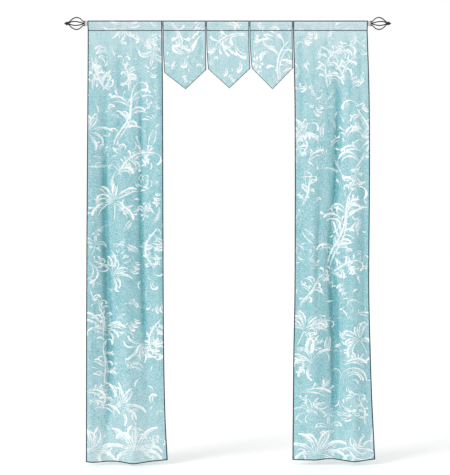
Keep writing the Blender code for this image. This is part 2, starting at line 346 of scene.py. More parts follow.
def straight(start, end, steps):
    """(y, z) points from start towards end, without the last."""
    run = np.arange(steps)[:, None] / steps
    return np.array(start) * (1 - run) + np.array(end) * run


def pocket_outside():
    """(y, z) points of the pocket's outer face, from the stitched line up the front and down the back."""
    front, back = (-CLOTH / 2, STITCH_Z), (CLOTH * 3 / 2, STITCH_Z)
    arc = arc_over_rod(front, back, POCKET_OUTSIDE)
    edge = STITCH_Z - SEAM_ALLOWANCE
    turned = [(back[0], edge + CLOTH), (back[0] - CLOTH / 3, edge), (CLOTH / 2, edge - CLOTH / 3)]
    return np.concatenate([straight(front, arc[0], POCKET_RUN_STEPS), arc,
                           straight(arc[-1], back, POCKET_RUN_STEPS)[1:], [back], turned])


def pocket_lining():
    """(y, z) points of the loop that holds the rod, from its foot between the two stitched layers."""
    foot = (CLOTH / 2, STITCH_Z + CLOTH)
    arc = arc_over_rod(foot, foot, POCKET_BORE)
    return np.concatenate([straight(foot, arc[0], 3), arc, straight(arc[-1], foot, 3)[1:]])


def shares(length, step, places):
    """Even shares of a length, with one more at each place where the cloth bends or steps."""
    even = list(np.linspace(0, 1, int(length / step) + 1))
    extra = [place / length for place in places]
    kept = [s for s in even if all(abs(s - e) * length > step * 0.4 for e in extra) or s in (0.0, 1.0)]
    return np.array(sorted(set(kept + extra)))


def grid_normals(points):
    """Unit normals of a grid of points, facing the front."""
    down, across = np.gradient(points, axis=0), np.gradient(points, axis=1)
    normals = np.cross(down, across)
    return normals / np.linalg.norm(normals, axis=2, keepdims=True)


def rounded(distance):
    """The cloth's thickness near an edge, as a share of its full thickness."""
    s = np.clip(1 - distance / EDGE_ROUND, 0, 1)
    return EDGE_THICKNESS + (1 - EDGE_THICKNESS) * np.sqrt(1 - s * s)


def join_loops(loops, faces, first):
    """Adds quads between neighbouring closed loops, whose points are numbered from first, loop after loop."""
    count, size = loops
    for row in range(count - 1):
        for k in range(size):
            after = (k + 1) % size
            a, b = first + row * size, first + (row + 1) * size
            faces.append((a + k, a + after, b + after, b + k))


def attribute(mesh, name, values):
    kept = mesh.attributes.new(name, "FLOAT", "POINT")
    kept.data.foreach_set("value", np.asarray(values, np.float32).ravel())


# Painted shade in the folds' troughs and in the gathers, and painted light on the ridges and on the pocket's
# front, as changes to the cloth's tone
TROUGH_SHADE = 0.27
RIDGE_LIGHT = 0.06
GATHER_SHADE = 0.16
POCKET_LIGHT = 0.06
POCKET_BACK_TONE = 0.75
PRINT_TOP = 0.003
SHOW_THROUGH_TOP = POCKET_DEPTH + 0.014
# The pocket's hidden lining is plain: no dark line of the edges or of the top falls on it
LINING = dict(tone=0.6, margin=0.1, fall=0.02, reverse=1.0)


def hanging_cloth(name, width, surface, hem, columns, rows, wash, folds, seed, fineness=1.0):
    """One hemmed cloth with a rod pocket, as a closed mesh, and its two faces, which the pattern lies on.

    surface(across, down) gives the middle of the cloth below the stitched line, and hem is the depth of its
    foot hem. A column's points run up the front from the foot, over the rod and down the back. A second loop
    lines the pocket. The reverse is thicker where the hems are turned. fineness over 1 makes the dark line
    along its edges finer.
    """
    across, down = np.meshgrid(columns, rows)
    middle = surface(across, down)
    drop = STITCH_Z - middle[-1, :, 2]
    below = down * drop[None, :]
    gathered = puckers(across, below, width, seed, *SHORT_GATHERS)
    spacing, half, share, deepest = LONG_GATHERS
    gathered += puckers(across, below, width, seed + 1, spacing, half, share * drop.max(), deepest)
    middle[..., 1] += gathered
    normals = grid_normals(middle)
    from_side = np.minimum(across, 1 - across) * width
    from_foot = (1 - down) * drop[None, :]
    full = rounded(from_side) * rounded(from_foot)
    turned = np.maximum(1 - smooth(SIDE_HEM - HEM_STEP, SIDE_HEM + HEM_STEP, from_side),
                        1 - smooth(hem - HEM_STEP, hem + HEM_STEP, from_foot))
    turned = turned * smooth(SEAM_ALLOWANCE * 1.5, SEAM_ALLOWANCE * 3, below)
    front = middle + normals * (CLOTH / 2 * full)[..., None]
    back = middle - normals * ((CLOTH / 2 + HEM_LAYERS * turned) * full)[..., None]

    outside, lining = pocket_outside(), pocket_lining()
    pocket_tilt = np.stack([np.zeros(len(outside))] + list(outside.T), axis=1)
    loops = []
    for c in range(len(columns)):
        pocket = pocket_tilt.copy()
        pocket[:, 0] = middle[0, c, 0]
        loops.append(np.concatenate([front[:0:-1, c], pocket, back[2:, c]]))
    points = np.concatenate(loops)
    faces = []
    join_loops((len(columns), len(loops[0])), faces, 0)
    inner_first = len(points)
    inner = [np.stack([np.full(len(lining), middle[0, c, 0]), *lining.T], axis=1)
             for c in range(len(columns))]
    points = np.concatenate([points, *inner])
    join_loops((len(columns), len(lining)), faces, inner_first)
    for c in (0, len(columns) - 1):
        outer_at = [c * len(loops[0]) + k for k in range(len(loops[0]))]
        inner_at = [inner_first + c * len(lining) + k for k in range(len(lining))]
        flat = [[Vector((points[k][1], points[k][2], 0)) for k in loop] for loop in (outer_at, inner_at)]
        corners = outer_at + inner_at
        faces += [tuple(corners[k] for k in triangle) for triangle in tessellate_polygon(flat)]

    mesh = bpy.data.meshes.new(name)
    mesh.from_pydata(points.tolist(), [], faces)
    mesh.update()
    cloth = put_in_scene(name, mesh)
    mesh.shade_smooth()
    mesh.set_sharp_from_angle(angle=radians(40))

    # Painted shade makes the wash deeper in the troughs and the gathers, and painted light makes it paler on
    # the ridges and on the pocket
    depth = fold_depth(folds, across, down) if folds else np.zeros_like(across)
    tone = along(wash, down) - TROUGH_SHADE * smooth(0.006, 0.016, depth)
    tone += RIDGE_LIGHT * smooth(0.002, 0.020, -depth)
    tone -= GATHER_SHADE * smooth(0.0, 0.0024, gathered)
    # Every point also knows how far it is from the nearest hem edge, and how far down from the pocket's top
    margin = np.minimum(from_side, from_foot) * fineness
    fall = below + POCKET_DEPTH
    pocket_fall = POCKET_OUTSIDE - outside[:, 1]
    front_count = POCKET_RUN_STEPS + POCKET_ARC_STEPS + 1
    back_count = len(outside) - front_count
    # The dark line along the top stops at the crown of the pocket
    loop_fall = np.concatenate([pocket_fall[:front_count], np.maximum(pocket_fall[front_count:], DARK_TOP)])
    per_point = {"tone": [], "margin": [], "fall": [], "reverse": []}
    for c in range(len(columns)):
        heading = [np.full(front_count, tone[0, c] + POCKET_LIGHT), np.full(back_count, POCKET_BACK_TONE)]
        per_point["tone"] += [tone[:0:-1, c], *heading, tone[2:, c]]
        per_point["margin"] += [margin[:0:-1, c], np.full(len(outside), margin[0, c]), margin[2:, c]]
        per_point["fall"] += [fall[:0:-1, c], loop_fall, fall[2:, c]]
        per_point["reverse"] += [np.zeros(len(rows) - 1 + front_count), np.ones(back_count + len(rows) - 2)]
    inner_count = len(columns) * len(lining)
    for key, plain in LINING.items():
        attribute(mesh, key, np.concatenate(per_point[key] + [np.full(inner_count, plain)]))

    # The front is one grid of points from the top of the pocket to the foot, the reverse one below the pocket
    top = np.zeros((front_count - 1, len(columns), 3))
    top[..., 0] = middle[0, :, 0]
    top[..., 1] = outside[front_count - 1:0:-1, 0][:, None]
    top[..., 2] = outside[front_count - 1:0:-1, 1][:, None]
    face = np.concatenate([top, front])
    top_tone = np.tile(tone[0] + POCKET_LIGHT, (len(top), 1))
    common = dict(width=width, across=columns, down=rows, drop=drop, fineness=fineness)
    front_face = dict(common, reverse=0.0, pocket_fall=pocket_fall[front_count - 1::-1], first=PRINT_TOP,
                      grid=face, normals=grid_normals(face), tone=np.concatenate([top_tone, tone]))
    back_face = dict(common, reverse=1.0, pocket_fall=np.array([POCKET_DEPTH]), first=SHOW_THROUGH_TOP,
                     grid=back, normals=-grid_normals(back), tone=tone)
    return cloth, front_face, back_face


def panel_surface(left_edge, right_edge, hem_line, folds):
    """The middle of a floor-length curtain, its spare width taken up by its folds."""
    def surface(across, down):
        left, right = along(left_edge, down), along(right_edge, down)
        z = STITCH_Z + (along(hem_line, across) - STITCH_Z) * down
        return np.stack([left + (right - left) * across, fold_depth(folds, across, down), z], axis=-1)
    return surface


BELOW_STITCHES = [0.0015, 0.0040, 0.0075, 0.0115, 0.0160, 0.0220]
NEAR_EDGE = [0.0004, 0.0012, 0.0026, 0.0045]
NEAR_HEM = 0.0007


def beside_hem(hem):
    """Places, in metres from an edge, where the cloth needs a line of points for its turned hem."""
    return NEAR_EDGE + [hem - NEAR_HEM, hem + NEAR_HEM]


def columns_across(width, hem, step, middle=()):
    side = beside_hem(hem)
    return shares(width, step, side + [width - place for place in side] + list(middle))


def rows_down(drop, hem, step):
    return shares(drop, step, BELOW_STITCHES + [drop - place for place in beside_hem(hem)])


WEAVE_PITCH = 0.0011
# The scale at which a wave texture repeats once a metre
ONE_A_METRE = 0.314
LIGHT_ON_CLOTH = 1.32


def linear(red, green, blue):
    """A colour as painters' charts give it, 0 to 255, in the linear scale that the shader wants."""
    return tuple(c / 255 / 12.92 if c <= 10 else ((c / 255 + 0.055) / 1.055) ** 2.4
                 for c in (red, green, blue))


def seen_as(red, green, blue):
    """The cloth's own colour where it is seen as this one, 0 to 255, in the light that falls on it."""
    return tuple(c / LIGHT_ON_CLOTH for c in linear(red, green, blue)) + (1,)


# The ground, from the deepest wash to the palest
WASH_COLOURS = ((0.0, seen_as(86, 160, 169)), (0.32, seen_as(134, 193, 201)),
                (0.66, seen_as(176, 213, 219)), (1.0, seen_as(214, 233, 236)))
# The colour laid as painted shade along the hem edges and in the pocket's stitched crease, and as a dark line
# along the pocket's top
EDGE_SHADE = (0.035, 0.055, 0.07, 1)
# Where each dark line is full and where it has faded out: from a hem edge, from the crease, from the top
DARK_LINES = ((0.0042, 0.0064), (0.0009, 0.0030), (0.0058, DARK_TOP))
REVERSE_COLOUR = (190, 217, 221)
REVERSE_PALENESS = 0.78
MOTTLE = 2.40


def cotton_colour(tree):
    """Nodes for the cloth's colour: the wash, painted shade and painted light by tone, clouded and mottled,
    and paler on its reverse.
    """
    link = tree.links.new
    place = new_node(tree, "TexCoord")
    tone = new_node(tree, "Attribute", attribute_name="tone")
    reverse = new_node(tree, "Attribute", attribute_name="reverse")
    share = new_node(tree, "Math", {1: REVERSE_PALENESS}, operation="MULTIPLY")
    pale = new_node(tree, "Mix", {"B": seen_as(*REVERSE_COLOUR)}, data_type="RGBA")
    spots = new_node(tree, "TexNoise", {"Scale": 230.0, "Detail": 3.0, "Roughness": 0.7})
    squeeze = new_node(tree, "Mapping", {"Scale": (1.0, 1.0, 0.45)})
    clouds = new_node(tree, "TexNoise", {"Scale": 24.0, "Detail": 5.0, "Roughness": 0.6})
    pools = new_node(tree, "MapRange", {"From Min": 0.40, "From Max": 0.60, "To Min": -1.25, "To Max": -1.15},
                     interpolation_type="SMOOTHSTEP")
    mottle = new_node(tree, "Math", {1: MOTTLE}, operation="MULTIPLY_ADD")
    pooled = new_node(tree, "Math")
    wash = new_ramp(tree, WASH_COLOURS)
    link(place.outputs["Object"], spots.inputs["Vector"])
    link(place.outputs["Object"], squeeze.inputs["Vector"])
    link(squeeze.outputs["Vector"], clouds.inputs["Vector"])
    link(clouds.outputs["Fac"], pools.inputs["Value"])
    link(spots.outputs["Fac"], mottle.inputs[0])
    link(tone.outputs["Fac"], mottle.inputs[2])
    link(mottle.outputs["Value"], pooled.inputs[0])
    link(pools.outputs["Result"], pooled.inputs[1])
    link(pooled.outputs["Value"], wash.inputs["Fac"])
    link(reverse.outputs["Fac"], share.inputs[0])
    link(share.outputs["Value"], pale.inputs["Factor"])
    link(wash.outputs["Color"], pale.inputs["A"])
    return pale.outputs["Result"], place.outputs["Object"]


def weave_height(tree, place):
    """Nodes for the plain weave: warp and weft threads as two crossed waves, uneven as spun yarn is."""
    cross = new_node(tree, "Math", operation="MAXIMUM")
    for number, direction in enumerate(("X", "Z")):
        waves = {"Scale": ONE_A_METRE / WEAVE_PITCH, "Distortion": 1.2, "Detail": 1.0}
        thread = new_node(tree, "TexWave", waves, bands_direction=direction)
        tree.links.new(place, thread.inputs["Vector"])
        tree.links.new(thread.outputs["Fac"], cross.inputs[number])
    return cross.outputs["Value"]


def shade_edges(tree, colour):
    """Nodes that darken a colour along three lines: painted shade along its hem edges and in the pocket's
    stitched crease, and a dark line along the pocket's top.
    """
    link = tree.links.new
    margin = new_node(tree, "Attribute", attribute_name="margin")
    fall = new_node(tree, "Attribute", attribute_name="fall")
    crease = new_node(tree, "Math", {1: POCKET_DEPTH}, operation="SUBTRACT")
    either_side = new_node(tree, "Math", operation="ABSOLUTE")
    link(fall.outputs["Fac"], crease.inputs[0])
    link(crease.outputs["Value"], either_side.inputs[0])
    distances = (margin.outputs["Fac"], either_side.outputs["Value"], fall.outputs["Fac"])
    darkest = None
    for distance, (full, none) in zip(distances, DARK_LINES):
        line = new_node(tree, "MapRange", {"From Min": full, "From Max": none, "To Min": 1.0, "To Max": 0.0},
                        interpolation_type="SMOOTHSTEP")
        link(distance, line.inputs["Value"])
        if darkest is None:
            darkest = line.outputs["Result"]
            continue
        both = new_node(tree, "Math", operation="MAXIMUM")
        link(darkest, both.inputs[0])
        link(line.outputs["Result"], both.inputs[1])
        darkest = both.outputs["Value"]
    shade = new_node(tree, "Mix", {"B": EDGE_SHADE}, data_type="RGBA", blend_type="MULTIPLY")
    link(darkest, shade.inputs["Factor"])
    link(colour, shade.inputs["A"])
    return shade.outputs["Result"]


def raise_weave(tree, shader, place, strength):
    relief = new_node(tree, "Bump", {"Strength": strength, "Distance": 0.0003})
    tree.links.new(weave_height(tree, place), relief.inputs["Height"])
    tree.links.new(relief.outputs["Normal"], shader.inputs["Normal"])


def cotton_finish():
    """Aqua cotton: the washed ground, a plain weave and a faint nap."""
    made, tree, shader = new_finish("aqua_cotton")
    colour, place = cotton_colour(tree)
    # Painted shade along the hem edges and the stitched crease, and the dark line along the top, go over the
    # colour
    tree.links.new(shade_edges(tree, colour), shader.inputs["Base Color"])
    raise_weave(tree, shader, place, strength=0.25)
    set_inputs(shader, {"Roughness": 0.88, "Specular IOR Level": 0.12, "Sheen Weight": 0.04})
    return made


cotton = cotton_finish()


def hang(cloth, node):
    """Puts a cloth in the place of its plain solid."""
    cloth.data.materials.append(cotton)
    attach(cloth, "root")
    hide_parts(node)


panel_columns = columns_across(PANEL_WIDTH, SIDE_HEM, COLUMN_STEP)
panel_rows = rows_down(PANEL_DROP, PANEL_HEM, ROW_STEP)
left_cloth, left_face, left_back = hanging_cloth(
    "left_curtain", PANEL_WIDTH, panel_surface(LEFT_OUTER_EDGE, LEFT_INNER_EDGE, LEFT_HEM, LEFT_FOLDS),
    PANEL_HEM, panel_columns, panel_rows, LEFT_WASH, LEFT_FOLDS, seed=11)
hang(left_cloth, "panel_left")


# The white pattern, printed on the front of all five cloths: loose brush strokes that make scrolling leaves,
# fans, bells and roses. The print ink lies as a thin dry film, so each stroke is a ribbon of its own just
# clear of the cloth, opaque along its middle and thin at its borders.

STROKE_STEP = 0.004
STROKE_MARGIN = 0.0022
FILM_LIFT = 0.00018
FILM_STEP = 0.00020
ACROSS_STROKE = np.array([-1.0, -0.8, -0.3, 0.3, 0.8, 1.0])
INK_ACROSS = np.array([0.0, 0.9, 1.0, 1.0, 0.9, 0.0])
LINE_BREADTHS = (0.0054, 0.0115)
WASH_BREADTH = 0.045
THIN_WASH = 0.32
SHOW_THROUGH = 0.36
# How a stroke's breadth wavers: by what share of it, over what length, and how far apart two strokes start
WAVER = ((0.24, 0.047, 1), (0.16, 0.019, 3))
STREAKS_APART = 3.7


def brush(x, y, heading, length, turn, breadth, strength, shape="comma", tighten=1.0, sway=0.0):
    """One stroke. heading and turn are degrees clockwise from up, tighten over 1 keeps the turn for its end,
    and sway swings it to the right and back on its way."""
    return dict(x=x, y=y, heading=heading, length=length, turn=turn, breadth=breadth, strength=strength,
                shape=shape, tighten=tighten, sway=sway)


def trail(stroke, count):
    """Points along a stroke, and its heading at each in radians."""
    s = np.linspace(0, 1, count)
    heading = stroke["heading"] + stroke["turn"] * s**stroke["tighten"] + stroke["sway"] * np.sin(2 * pi * s)
    heading = np.radians(heading)
    between = (heading[1:] + heading[:-1]) / 2
    step = stroke["length"] / (count - 1)
    x = stroke["x"] + np.concatenate([[0], np.cumsum(np.sin(between) * step)])
    y = stroke["y"] + np.concatenate([[0], np.cumsum(np.cos(between) * step)])
    return x, y, heading


def spot(stroke, share):
    """Where a stroke is at a share of its length, and its heading there in degrees."""
    x, y, heading = trail(stroke, 41)
    k = int(share * 40)
    return x[k], y[k], np.degrees(heading[k])


def fullness(shape, s):
    """How broad a stroke is along its length, as a share of its breadth."""
    if shape == "comma":
        return (0.20 + 0.80 * smooth(0.1, 0.85, s)) * np.sqrt(1 - np.clip((s - 0.92) / 0.08, 0, 1)**2)
    if shape == "stem":
        return 0.8 * smooth(0, 0.08, s) * (1 - 0.5 * smooth(0.6, 1, s))
    if shape == "petal":
        return np.sin(pi * np.clip(s, 0, 1)**1.6)**0.8
    return np.sin(pi * s)**0.85


def blade(chance, x, y, heading, length, turn, breadth=0.06, strength=1.0):
    """A leaf's blade in outline: two lines that part and meet again over a thin wash, the outer one brighter
    and ending in a full curled tip."""
    tighten = chance.uniform(1.4, 2.6)
    sway = chance.uniform(-14, 14)
    heading += chance.uniform(-6, 6)
    out = 15 if turn > 0 else -15
    outer = brush(x, y, heading - out, length, turn + 2 * out, breadth * 0.8, strength, "comma", tighten,
                  sway)
    inner = dict(outer, heading=heading + out, length=length * 0.95, turn=turn - 2 * out,
                 breadth=breadth * 0.6, strength=strength * chance.uniform(0.6, 0.95), shape="leaf")
    wash = dict(outer, heading=heading, length=length * 0.9, turn=turn, breadth=breadth * 3.2,
                strength=THIN_WASH * strength, shape="leaf")
    return [wash, outer, inner]


def ruffle(chance, spine, side, count, reach, breadth, start=0.12, end=0.9):
    """Small lobes along one side of a stroke, each a short curl that turns back at its full tip."""
    strokes = []
    for number in range(count):
        x, y, heading = spot(spine, start + (end - start) * (number + chance.uniform(0.1, 0.9)) / count)
        swell = 0.55 + 0.45 * sin(pi * (number + 0.5) / count)
        strokes.append(brush(x, y, heading + side * chance.uniform(15, 45),
                             reach * swell * chance.uniform(0.7, 1.2), side * chance.uniform(40, 110),
                             breadth * chance.uniform(0.6, 1.3), chance.uniform(0.55, 1.0), "comma", 1.5))
    return strokes


def frond(chance, x, y, heading, length, turn, breadth=0.075, strength=1.0, lobes=4):
    """A curling leaf with a ruffled back, over a broad thin wash."""
    spine = brush(x, y, heading, length, turn, breadth, strength, "comma", 1.5, chance.uniform(-12, 12))
    back = -1 if turn > 0 else 1
    wash = dict(spine, breadth=breadth * 3.6, strength=THIN_WASH * strength, shape="leaf",
                length=length * 0.9)
    inner = dict(spine, heading=heading - back * 18, turn=turn + back * 20, length=length * 0.8,
                 breadth=breadth * 0.5, strength=0.75 * strength, shape="leaf")
    return [wash, spine, inner] + ruffle(chance, spine, back, lobes, length * 0.34, breadth * 0.75)


def lobe(chance, x, y, heading, length, bend, breadth=0.055, strength=1.0):
    """A slim round-ended lobe in outline, bent to one side: two lines that part at once and close over at its
    tip, with a rib between them."""
    close = chance.uniform(52, 72)
    part = 0.31 * close
    left = brush(x, y, heading - part, length, close + bend, breadth, strength * chance.uniform(0.8, 1.0),
                 "comma", 2.2)
    right = dict(left, heading=heading + part, turn=bend - close, breadth=breadth * 0.7,
                 strength=strength * chance.uniform(0.55, 1.0), shape="leaf")
    rib = dict(right, heading=heading, turn=bend, length=length * 0.7, strength=0.55 * strength)
    return [dict(rib, breadth=0.26 * length, strength=THIN_WASH * strength), rib, left, right]


def double(chance, x, y, heading, length, turn, breadth=0.06, strength=1.0):
    """Two lines side by side that bend together, the outer one longer and ending in a full tip."""
    outer = brush(x, y, heading, length, turn, breadth, strength, "comma", 1.6)
    inside = 0.07 if turn > 0 else -0.07
    x, y, heading = spot(outer, 0.15)
    inner = dict(outer, x=x + inside * cos(radians(heading)), y=y - inside * sin(radians(heading)),
                 heading=heading, length=0.7 * length, turn=0.85 * turn, breadth=0.6 * breadth,
                 strength=0.7 * strength, shape="leaf")
    return [outer, inner]


def fan(chance):
    """A palmette: double lines that rise from one foot and droop outwards on both sides of a small bud."""
    strokes = [brush(0, 0, 0, 0.8, 8, 0.5, 0.3, "leaf")]
    strokes += lobe(chance, 0, 0.08, chance.uniform(-12, 12), 0.75, chance.uniform(-30, 30))
    for side in (-1, 1):
        for angle, reach, turn in ((22, 1.0, 75), (48, 0.95, 105), (84, 0.8, 110)):
            strokes += double(chance, 0.03 * side, 0.03, side * (angle + chance.uniform(-8, 8)),
                              reach * chance.uniform(0.8, 1.05), side * turn * chance.uniform(0.7, 1.3), 0.06,
                              chance.uniform(0.75, 1.0))
    strokes.append(brush(0, 0, -8, 0.85, -140, 0.055, 0.9, "comma", 2.4))
    return strokes


def lily(chance):
    """An open flower: a bud with petals that turn back, two ruffled leaves below it and a short bent stem."""
    strokes = [brush(0.02, -0.1, 176, 0.55, chance.uniform(-50, 50), 0.04, 0.8, "stem")]
    for heading, length, turn in ((-28, 0.8, -70), (2, 0.6, 30), (34, 0.85, 80), (-62, 0.7, -100)):
        strokes += blade(chance, 0.1 * sin(radians(heading)), 0, heading, length * chance.uniform(0.85, 1.1),
                         turn, 0.07)
    strokes += frond(chance, 0, -0.05, -84, 1.0, -100)
    strokes += frond(chance, 0, -0.1, 96, 0.95, 90)
    strokes.append(brush(0.05, -0.05, 84, 0.45, 120, 0.07, 1.0, "comma", 1.4))
    return strokes


def vine(chance, leaves=3):
    """A stem that sways, drawn twice, with curling leaves to both sides in turn and two curls at its head."""
    stem = brush(0, 0, -22, 1.0, 40, 0.04, 0.9, "stem", 1.2, chance.uniform(18, 34))
    strokes = [stem, dict(stem, x=0.04, y=-0.02, length=0.9, breadth=0.024, strength=0.6)]
    for number in range(leaves):
        for side in (-1, 1):
            x, y, heading = spot(stem, 0.22 + (0.62 * number + 0.30 * max(side, 0)) / leaves)
            heading += side * chance.uniform(15, 60)
            turn = side * chance.uniform(50, 150)
            if chance.random() < 0.35:
                strokes.append(brush(x, y, heading, chance.uniform(0.14, 0.26), 1.5 * turn, 0.05, 1.0,
                                     "comma", 1.5))
            else:
                leaf = chance.choice((frond, lobe, blade))
                strokes += leaf(chance, x, y, heading, chance.uniform(0.20, 0.40), turn, 0.04,
                                chance.uniform(0.7, 1))
    x, y, heading = spot(stem, 1.0)
    strokes.append(brush(x, y, heading + 12, 0.30, 190, 0.05, 1.0, "comma", 1.3))
    strokes.append(brush(x, y, heading - 20, 0.24, -150, 0.045, 0.9, "comma", 1.3))
    return strokes


def tall_vine(chance):
    return vine(chance, 4)


def plume(chance, lobes=5):
    """A half leaf: a curved spine with curling lobes along its inner side and fine lines along the outer."""
    spine = brush(0, 0, -20, 1.0, 70, 0.04, 0.75, "stem", 1.6, chance.uniform(-18, 18))
    strokes = [spine, dict(spine, breadth=0.26, strength=THIN_WASH, shape="leaf", length=0.95)]
    for number in range(lobes):
        x, y, heading = spot(spine, 0.10 + (0.8 * number + chance.uniform(0, 0.6)) / lobes)
        reach = chance.uniform(0.26, 0.46) * (1 - 0.35 * number / lobes)
        strokes += frond(chance, x, y, heading + chance.uniform(30, 60), reach, chance.uniform(60, 150),
                         0.045, chance.uniform(0.6, 1.0), 2)
    strokes += ruffle(chance, spine, -1, lobes + 1, 0.22, 0.045)
    x, y, heading = spot(spine, 0.98)
    strokes.append(brush(x, y, heading, 0.34, 165, 0.06, 1.0, "comma", 1.3))
    return strokes


def scroll(chance):
    """A curl with a bright end, and small leaves on its outer side."""
    curl = brush(0, 0, -30, 1.2, 275, 0.075, 1.0, "comma", 1.5)
    strokes = [curl, brush(0.05, 0, -24, 0.9, 240, 0.032, 0.6, "leaf", 1.4),
               brush(0, 0, -30, 1.1, 250, 0.18, 0.3, "leaf", 1.5)]
    for share in (0.18, 0.40):
        x, y, heading = spot(curl, share)
        strokes += blade(chance, x, y, heading - 48, 0.34, -80, 0.05, 0.85)
    return strokes


def hook(chance):
    """A bold hooked curl over a thin wash, with a fine line inside it and a small comma at its root."""
    return [brush(0, 0, -30, 1.0, 215, 0.095, 1.0, "comma", 1.6),
            brush(0, 0, -30, 0.9, 190, 0.2, 0.3, "leaf", 1.6),
            brush(0.07, 0.02, -24, 0.7, 190, 0.035, 0.6, "leaf", 1.5),
            brush(0, 0, -75, 0.36, -80, 0.06, 0.8)]


def bell(chance):
    """A flower seen from the side: three petals whose tips curl out, a scalloped mouth and a stem."""
    strokes = [brush(0, 0, 180, 0.5, 24, 0.035, 0.8, "stem")]
    for side in (-1, 1):
        strokes += blade(chance, 0, 0, side * 34, 0.85, side * 150, 0.06)
        strokes += blade(chance, 0, -0.04, side * 128, 0.34, side * -95, 0.05, 0.8)
        strokes.append(brush(side * 0.02, 0.05, side * 9, 0.6, side * -20, 0.03, 0.65, "leaf"))
        strokes.append(brush(side * 0.26, 0.6, side * -100, 0.26, side * 75, 0.05, 0.9, "leaf"))
    return strokes


def rose(chance):
    strokes = [brush(-0.3, -0.15, -20, 1.2, 240, 0.22, 0.28, "leaf")]
    for ring, petals in ((0.09, 2), (0.22, 4), (0.38, 5)):
        start = chance.uniform(0, 360)
        for number in range(petals):
            angle = start + number * 360 / petals + chance.uniform(-16, 16)
            strokes.append(brush(ring * sin(radians(angle)), ring * cos(radians(angle)),
                                 angle + chance.uniform(40, 75),
                                 (ring * 1.1 + 0.08) * chance.uniform(0.7, 1.2), 105,
                                 chance.uniform(0.04, 0.07), chance.uniform(0.4, 1.0), "leaf"))
    strokes += blade(chance, 0.1, -0.36, 118, 0.45, -70, 0.05, 0.8)
    strokes += blade(chance, -0.1, -0.36, -125, 0.5, 80, 0.05, 0.8)
    return strokes


def daisy(chance, petals=7):
    strokes = [brush(0, -0.45, 170, 0.5, 30, 0.05, 0.7, "stem"), brush(0.02, -0.6, 110, 0.3, -60, 0.08, 0.7)]
    for number in range(petals):
        angle = number * 360 / petals + chance.uniform(-8, 8)
        strokes.append(brush(0.14 * sin(radians(angle)), 0.14 * cos(radians(angle)), angle, 0.36, 12, 0.17,
                             chance.uniform(0.75, 1.0), "petal"))
    return strokes


def crescents(chance, count=3):
    strokes = []
    for number in range(count):
        reach = chance.uniform(0.6, 0.85) * (1 - 0.12 * number)
        y = number * 0.3
        strokes.append(brush(-reach / 2, y, 140, reach, -110, 0.11, chance.uniform(0.8, 1.0), "comma", 1.1))
        strokes.append(brush(-reach / 2 - 0.04, y + 0.09, 138, reach * 0.85, -105, 0.035, 0.6, "leaf"))
        strokes.append(brush(-reach / 2, y, 140, reach, -110, 0.22, 0.28, "leaf"))
    return strokes


def shell(chance):
    """Arches one within another, each ending in a drop."""
    strokes = []
    for ring in (0.56, 0.43, 0.30, 0.17):
        strokes.append(brush(-ring, chance.uniform(-0.05, 0.05), chance.uniform(-8, 8), pi * ring * 0.95,
                             chance.uniform(165, 195), 0.05, chance.uniform(0.6, 1.0), "comma", 1.1))
    strokes.append(brush(-0.5, 0, 0, 1.6, 185, 0.2, 0.3, "leaf"))
    return strokes


def pointed_leaf(chance):
    strokes = [brush(0, 0, -34, 1.0, 62, 0.05, 0.9, "leaf"), brush(0, 0, 30, 0.98, -60, 0.05, 0.8, "leaf"),
               brush(0, 0.05, 0, 0.8, 6, 0.03, 0.6, "stem"), brush(0, 0, 0, 1.0, 4, 0.34, 0.25, "leaf")]
    for height in (0.25, 0.42, 0.59):
        for side in (-1, 1):
            strokes.append(brush(0, height, side * 34, 0.28, side * -24, 0.025, 0.5, "leaf"))
    return strokes


def swirl(chance):
    return [brush(0, 0, -80, 1.1, 250, 0.07, 0.8, "leaf"),
            brush(0.05, 0.1, -70, 0.8, 240, 0.055, 0.7, "leaf"),
            brush(0.12, 0.2, -60, 0.5, 220, 0.05, 0.6, "leaf"),
            brush(0.2, 0.1, 90, 0.5, -120, 0.04, 0.6, "leaf")]


def commas(chance):
    return [brush(0, 0, -14, 0.9, -55, 0.10, 1.0), brush(0.16, -0.02, 2, 0.75, -50, 0.08, 0.9),
            brush(0.30, -0.03, 20, 0.55, -45, 0.07, 0.8)]


def single(chance):
    """A lone leaf, curled over at its end."""
    return frond(chance, 0, 0, 0, 1.0, chance.uniform(70, 130), 0.085, 1.0, 3)


def curl(chance):
    """A bold comma of ink with a fine line in its hollow."""
    turn = chance.uniform(95, 150)
    return [brush(0, 0, 0, 1.0, turn, 0.13, 1.0, "comma", 1.6),
            brush(0.07, 0, 6, 0.75, turn, 0.05, 0.7, "leaf", 1.6)]


def spray(chance, leaves=5):
    """A bent stem drawn twice, with a bold curl at each side in turn."""
    stem = brush(0, 0, -16, 1.0, 60, 0.04, 0.85, "stem", 1.3)
    strokes = [stem, dict(stem, x=0.05, length=0.85, breadth=0.03, strength=0.6)]
    for number in range(leaves):
        x, y, heading = spot(stem, 0.28 + 0.72 * number / leaves)
        side = 1 if number % 2 else -1
        strokes.append(brush(x, y, heading + side * chance.uniform(25, 45), chance.uniform(0.26, 0.42),
                             side * chance.uniform(50, 120), 0.085, 1.0, "comma", 1.5))
    return strokes


def lay_strokes(rows, seed, load):
    """Strokes in metres on the flat cloth, from rows of a pattern. load is how full the brush is."""
    laid = []
    for number, (motif, across, down, size, turned, strength) in enumerate(rows):
        chance = random.Random(seed * 100 + number)
        flip = -1 if size < 0 else 1
        size = abs(size) / 1000
        tilt = radians(turned)
        for stroke in motif(chance):
            x, y = stroke["x"] * flip, stroke["y"]
            broadest = LINE_BREADTHS[1] if stroke["strength"] > 0.5 else WASH_BREADTH
            breadth = load * min(max(stroke["breadth"] * size * 1.2, LINE_BREADTHS[0]), broadest)
            laid.append(dict(
                stroke, x=across / 1000 + size * (x * cos(tilt) + y * sin(tilt)),
                y=-down / 1000 + size * (y * cos(tilt) - x * sin(tilt)),
                heading=stroke["heading"] * flip + turned, turn=stroke["turn"] * flip,
                length=stroke["length"] * size, breadth=breadth,
                strength=stroke["strength"] * strength))
    return laid


